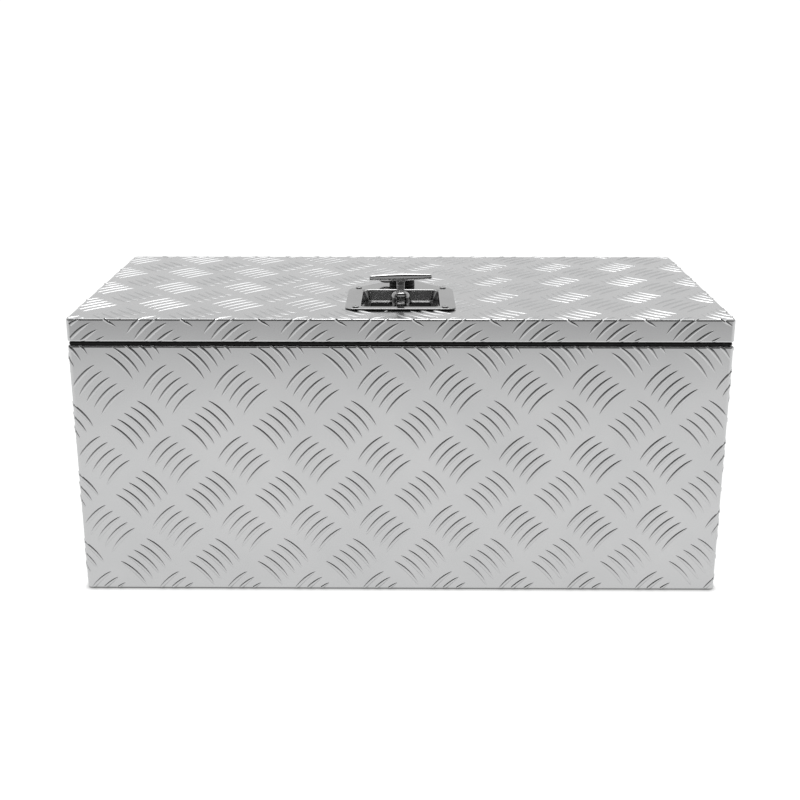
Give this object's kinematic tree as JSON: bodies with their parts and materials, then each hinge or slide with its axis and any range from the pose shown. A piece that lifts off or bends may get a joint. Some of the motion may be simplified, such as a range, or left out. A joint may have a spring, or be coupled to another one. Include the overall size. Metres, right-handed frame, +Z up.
{
  "type": "truck tool box",
  "caption": "Tread-plate truck tool chest with a hinged lid on gas struts, a folding T-handle latch set in a dish and a key lock under a dust cap.",
  "frame": {"origin": "centre of the chest's bounding box at floor level, with the hinge barrel counted", "axes": "+X along the chest's long side, -Y towards the front, +Z up"},
  "size_m": [0.762, 0.341, 0.3735],
  "materials": {
    "tread_plate": "bright tread plate",
    "stainless": "polished stainless steel",
    "zinc_steel": "zinc-plated",
    "black_rubber": "matt",
    "black_plastic": "moulded",
    "black_paint": "semi-gloss",
    "rod_chrome": "polished",
    "rivet_aluminium": "satin"
  },
  "bodies": {
    "body": {"body_wrap": "tread_plate", "floor_panel": "tread_plate", "body_seal": "black_rubber", "striker_plate": "zinc_steel", "striker_rivet_left": "rivet_aluminium", "striker_rivet_right": "rivet_aluminium", "hinge_leaf_body": "zinc_steel", "hinge_pin": "zinc_steel", "hinge_rivet_body_1": "rivet_aluminium", "hinge_rivet_body_2": "rivet_aluminium", "hinge_rivet_body_3": "rivet_aluminium", "hinge_rivet_body_4": "rivet_aluminium", "strut_bracket_body_left": "zinc_steel", "strut_bracket_body_right": "zinc_steel"},
    "lid": {"lid_pan": "tread_plate", "hinge_leaf_lid": "zinc_steel", "hinge_rivet_lid_1": "rivet_aluminium", "hinge_rivet_lid_2": "rivet_aluminium", "hinge_rivet_lid_3": "rivet_aluminium", "hinge_rivet_lid_4": "rivet_aluminium", "lid_stiffener": "zinc_steel", "latch_dish": "stainless", "dish_gasket": "black_rubber", "dish_rivet_1": "stainless", "dish_rivet_2": "stainless", "dish_rivet_3": "stainless", "dish_rivet_4": "stainless", "shaft_bushing": "zinc_steel", "lock_housing": "stainless", "lock_nut": "zinc_steel", "cap_collar": "black_plastic", "cap_pin": "zinc_steel", "strut_bracket_lid_left": "zinc_steel", "strut_bracket_lid_right": "zinc_steel"},
    "latch_rotor": {"handle_hub": "stainless", "pivot_pin": "black_paint", "lock_disc": "zinc_steel", "cam_spacer": "zinc_steel", "latch_cam": "zinc_steel", "cam_nut": "zinc_steel"},
    "handle": {"t_handle": "stainless"},
    "key_plug": {"lock_plug": "stainless", "lock_cam": "zinc_steel", "lock_cam_screw": "zinc_steel"},
    "cap": {"dust_cap": "black_rubber"},
    "strut_lower_left": {"strut_rod_left": "rod_chrome", "strut_rod_end_left": "black_plastic"},
    "strut_upper_left": {"strut_tube_left": "black_paint", "strut_tube_end_left": "black_plastic"},
    "strut_lower_right": {"strut_rod_right": "rod_chrome", "strut_rod_end_right": "black_plastic"},
    "strut_upper_right": {"strut_tube_right": "black_paint", "strut_tube_end_right": "black_plastic"}
  },
  "joints": [
    {"name": "lid_hinge", "type": "hinge", "parent": "body", "child": "lid", "pos_m": [0, 0.1675, 0.31055], "axis": [-1, 0, 0], "range_deg": [0, 75]},
    {"name": "handle_turn", "type": "hinge", "parent": "lid", "child": "latch_rotor", "pos_m": [0, -0.0814, 0.336], "axis": [0, 0, 1], "range_deg": [-6, 84]},
    {"name": "handle_fold", "type": "hinge", "parent": "latch_rotor", "child": "handle", "pos_m": [0, -0.0814, 0.336], "axis": [-0.9945, -0.1045, 0], "range_deg": [0, 90]},
    {"name": "key_turn", "type": "hinge", "parent": "lid", "child": "key_plug", "pos_m": [0.0014, -0.0158, 0.343], "axis": [0, 0, -1], "range_deg": [0, 90]},
    {"name": "dust_cap_flip", "type": "hinge", "parent": "lid", "child": "cap", "pos_m": [0.0014, 0.002, 0.3494], "axis": [-1, 0, 0], "range_deg": [0, 110]},
    {"name": "strut_swing_left", "type": "hinge", "parent": "body", "child": "strut_lower_left", "pos_m": [-0.343, 0.1375, 0.25555], "axis": [-1, 0, 0], "range_deg": [0, 60.64]},
    {"name": "strut_extend_left", "type": "slide", "parent": "strut_lower_left", "child": "strut_upper_left", "axis": [0, -0.8609, 0.5087], "range_m": [0, 0.06538]},
    {"name": "strut_swing_right", "type": "hinge", "parent": "body", "child": "strut_lower_right", "pos_m": [0.343, 0.1375, 0.25555], "axis": [-1, 0, 0], "range_deg": [0, 60.64]},
    {"name": "strut_extend_right", "type": "slide", "parent": "strut_lower_right", "child": "strut_upper_right", "axis": [0, -0.8609, 0.5087], "range_m": [0, 0.06538]}
  ],
  "couplings": [
    {"joint": "strut_swing_left", "follows": "lid_hinge", "ratio": 0.80584},
    {"joint": "strut_extend_left", "follows": "lid_hinge", "m_per_rad": 0.049717},
    {"joint": "strut_swing_right", "follows": "lid_hinge", "ratio": 0.80584},
    {"joint": "strut_extend_right", "follows": "lid_hinge", "m_per_rad": 0.049717}
  ]
}
